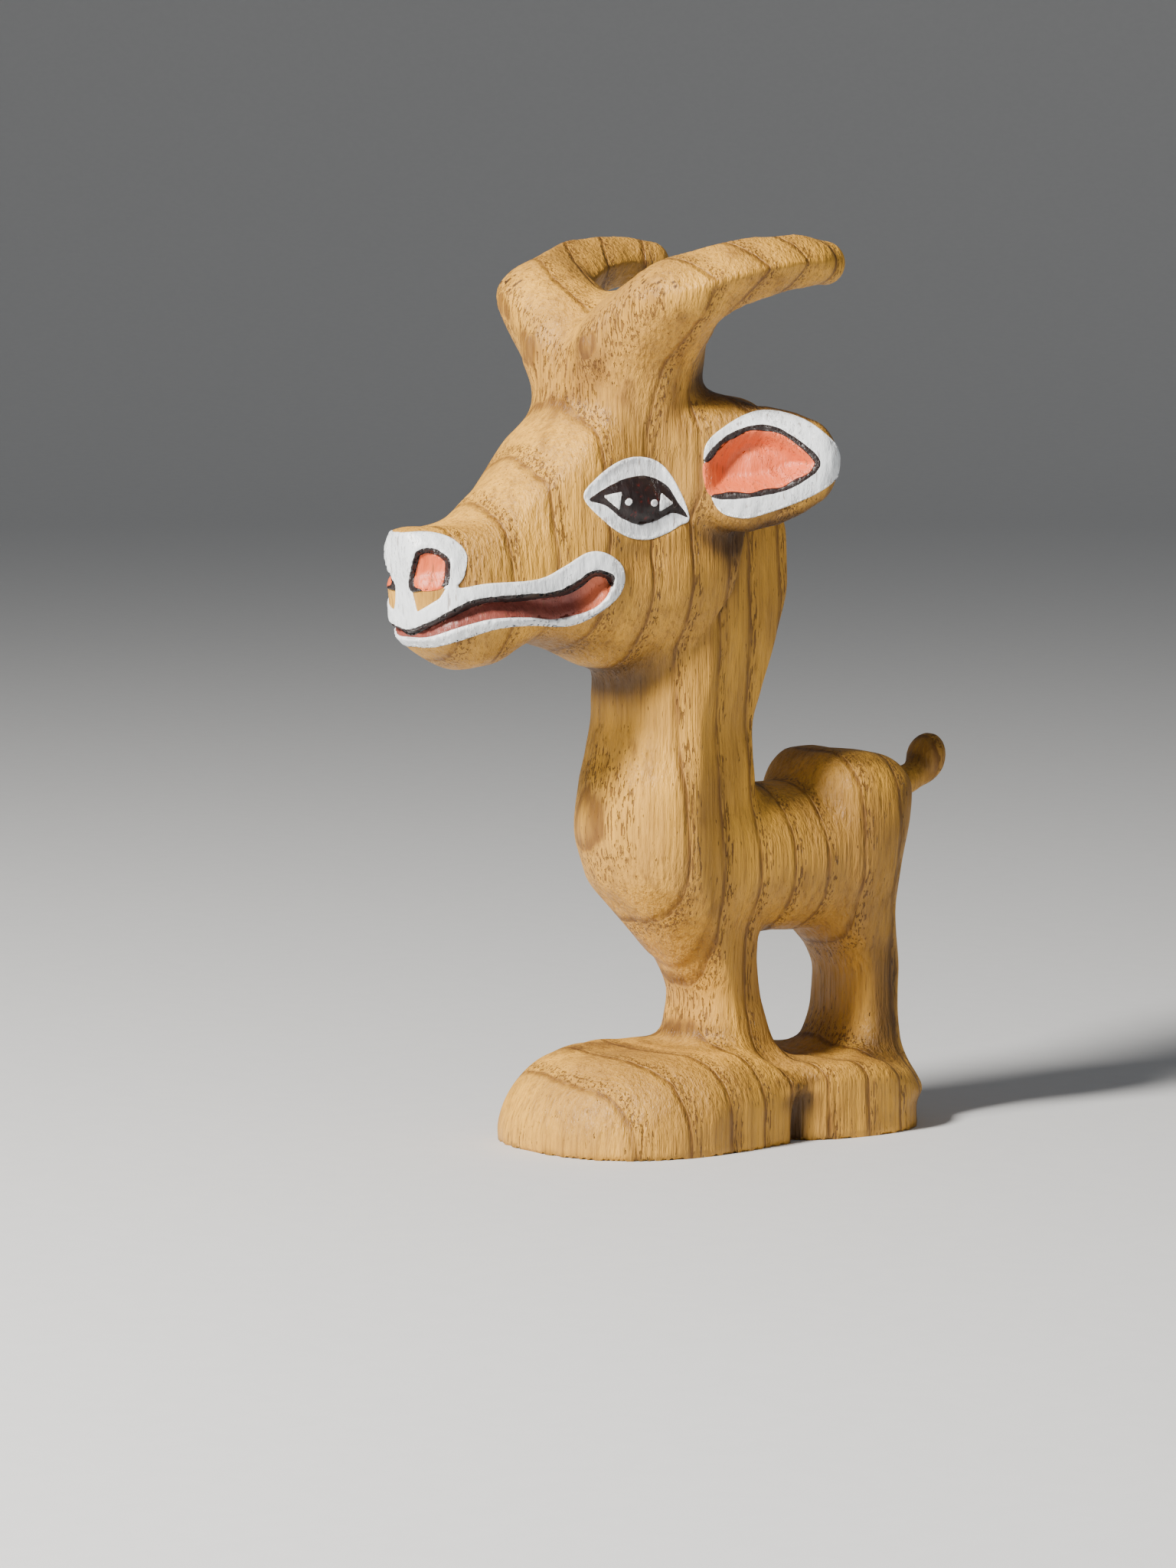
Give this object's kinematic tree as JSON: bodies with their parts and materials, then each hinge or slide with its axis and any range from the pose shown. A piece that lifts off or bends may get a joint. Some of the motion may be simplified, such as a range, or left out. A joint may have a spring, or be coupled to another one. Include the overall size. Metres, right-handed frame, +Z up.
{
  "type": "carved wooden animal figurine",
  "caption": "Small carved wooden long-necked horned animal standing on two broad feet, with brush-painted eyes, ears, nostrils and mouth.",
  "frame": {"origin": "on the flat sole, in the middle plane, under the broad front foot", "axes": "+Z up, the animal faces -Y, its own left side is +X"},
  "size_m": [0.0396, 0.0732, 0.0984],
  "materials": {
    "carved_wood": "satin, hand-carved, open-pored light brown hardwood with a thin clear coat",
    "white_paint": "satin, thick brushed acrylic, white",
    "black_paint": "satin, thick brushed acrylic, black",
    "salmon_paint": "satin, brushed acrylic, salmon pink",
    "mouth_paint": "satin, brushed acrylic, dark brownish pink"
  },
  "bodies": {
    "root": {"carved_body": "carved_wood", "muzzle_outline": "white_paint", "mouth_line": "black_paint", "mouth_lining": "mouth_paint", "left_nostril_line": "black_paint", "right_nostril_line": "black_paint", "left_nostril_lining": "salmon_paint", "right_nostril_lining": "salmon_paint", "left_eye_surround": "white_paint", "right_eye_surround": "white_paint", "left_eye_black": "black_paint", "right_eye_black": "black_paint", "left_eye_corners": "white_paint", "right_eye_corners": "white_paint", "left_eye_catchlights": "white_paint", "right_eye_catchlights": "white_paint", "left_ear_rim": "white_paint", "right_ear_rim": "white_paint", "left_ear_line": "black_paint", "right_ear_line": "black_paint", "left_ear_lining": "salmon_paint", "right_ear_lining": "salmon_paint"}
  },
  "joints": []
}
